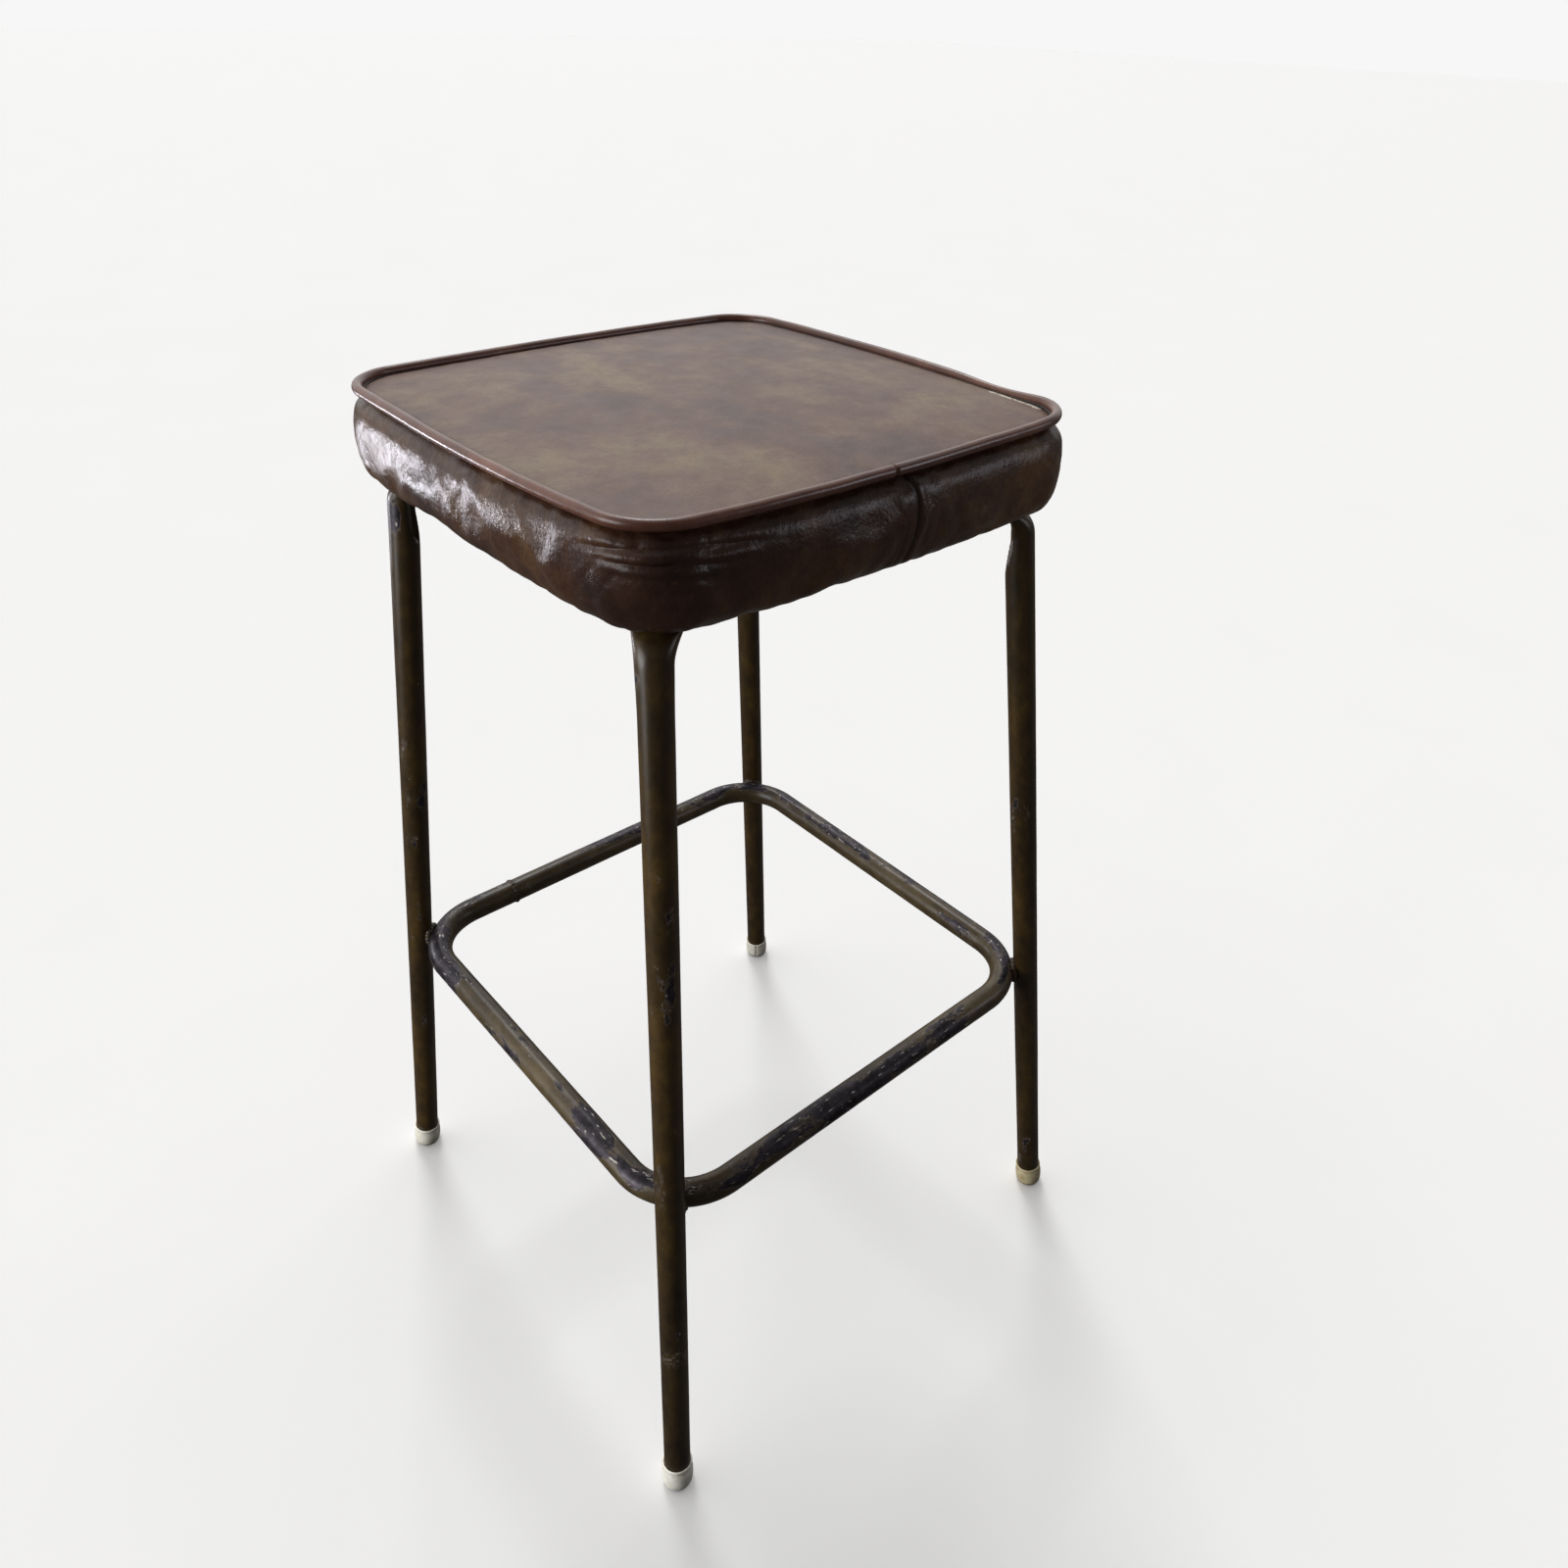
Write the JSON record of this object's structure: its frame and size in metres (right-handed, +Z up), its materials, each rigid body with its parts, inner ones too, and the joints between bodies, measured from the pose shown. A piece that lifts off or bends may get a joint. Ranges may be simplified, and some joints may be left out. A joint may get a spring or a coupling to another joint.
{
  "type": "bar stool",
  "caption": "Square padded bar stool on splayed round-tube legs, tied by a bent tube footrest ring.",
  "frame": {"origin": "on the floor, under the middle of the seat", "axes": "+Z up; -Y is the front; the legs stand on the diagonals; the cover's seam is on the +X side"},
  "size_m": [0.4242, 0.4242, 0.7102],
  "materials": {
    "frame_paint": "dark olive brown enamel, satin, chipped near the tops",
    "footrest_paint": "olive brown enamel worn through to dark bare steel along the top",
    "weld_paint": "painted-over weld bead, lumpy",
    "cap_plastic": "cream plastic, yellowed",
    "vinyl_piping": "glossy vinyl, rubbed lighter on top",
    "cord_fibre": "twisted fibre core",
    "vinyl_side": "glossy fine-grained vinyl",
    "vinyl_top": "fine-grained vinyl with a milky worn sheen",
    "foam": "open-cell foam",
    "plywood": "raw plywood",
    "zinc_steel": "dull zinc plate",
    "staple_wire": "galvanised wire"
  },
  "bodies": {
    "root": {"leg_front_right": "frame_paint", "leg_rear_right": "frame_paint", "leg_rear_left": "frame_paint", "leg_front_left": "frame_paint", "footrest_ring": "footrest_paint", "ring_butt_weld": "weld_paint", "ring_weld_front_right": "weld_paint", "ring_weld_rear_right": "weld_paint", "ring_weld_rear_left": "weld_paint", "ring_weld_front_left": "weld_paint", "foot_cap_front_right": "cap_plastic", "foot_cap_rear_right": "cap_plastic", "foot_cap_rear_left": "cap_plastic", "foot_cap_front_left": "cap_plastic", "piping": "vinyl_piping", "piping_cord": "cord_fibre", "cover_side_band": "vinyl_side", "cover_top_panel": "vinyl_top", "seat_foam": "foam", "seat_board": "plywood", "leg_bolts": "zinc_steel", "leg_bolt_washers": "zinc_steel", "tee_nuts": "zinc_steel", "hem_staples": "staple_wire"}
  },
  "joints": []
}
